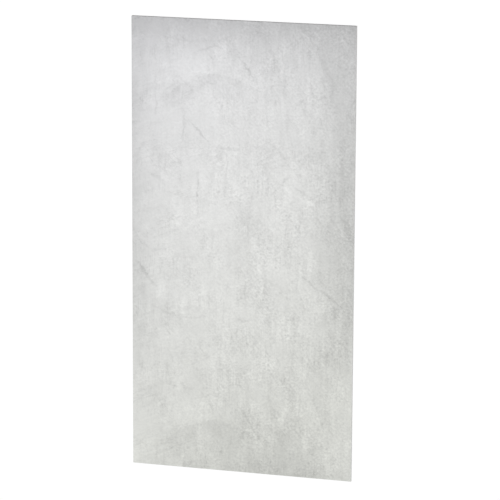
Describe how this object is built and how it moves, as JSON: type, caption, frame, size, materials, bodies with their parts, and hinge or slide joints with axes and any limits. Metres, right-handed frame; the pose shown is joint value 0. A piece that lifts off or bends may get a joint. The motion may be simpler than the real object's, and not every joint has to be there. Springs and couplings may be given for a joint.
{
  "type": "pvc ceiling panel",
  "caption": "Flat rectangular hollow-core PVC ceiling panel with a concrete-look face, square long edges and open cell ends.",
  "frame": {"origin": "middle of the underside, which is the plain back face", "axes": "+X across the cells, +Y along the cells and the panel's length, +Z through the thickness towards the printed face"},
  "size_m": [0.595, 1.195, 0.008],
  "materials": {
    "decor_pvc": "rigid PVC extrusion, off-white in the body, with a matt light grey concrete-look print under clear lacquer on the top face"
  },
  "bodies": {
    "root": {"ceiling_panel": "decor_pvc"}
  },
  "joints": []
}
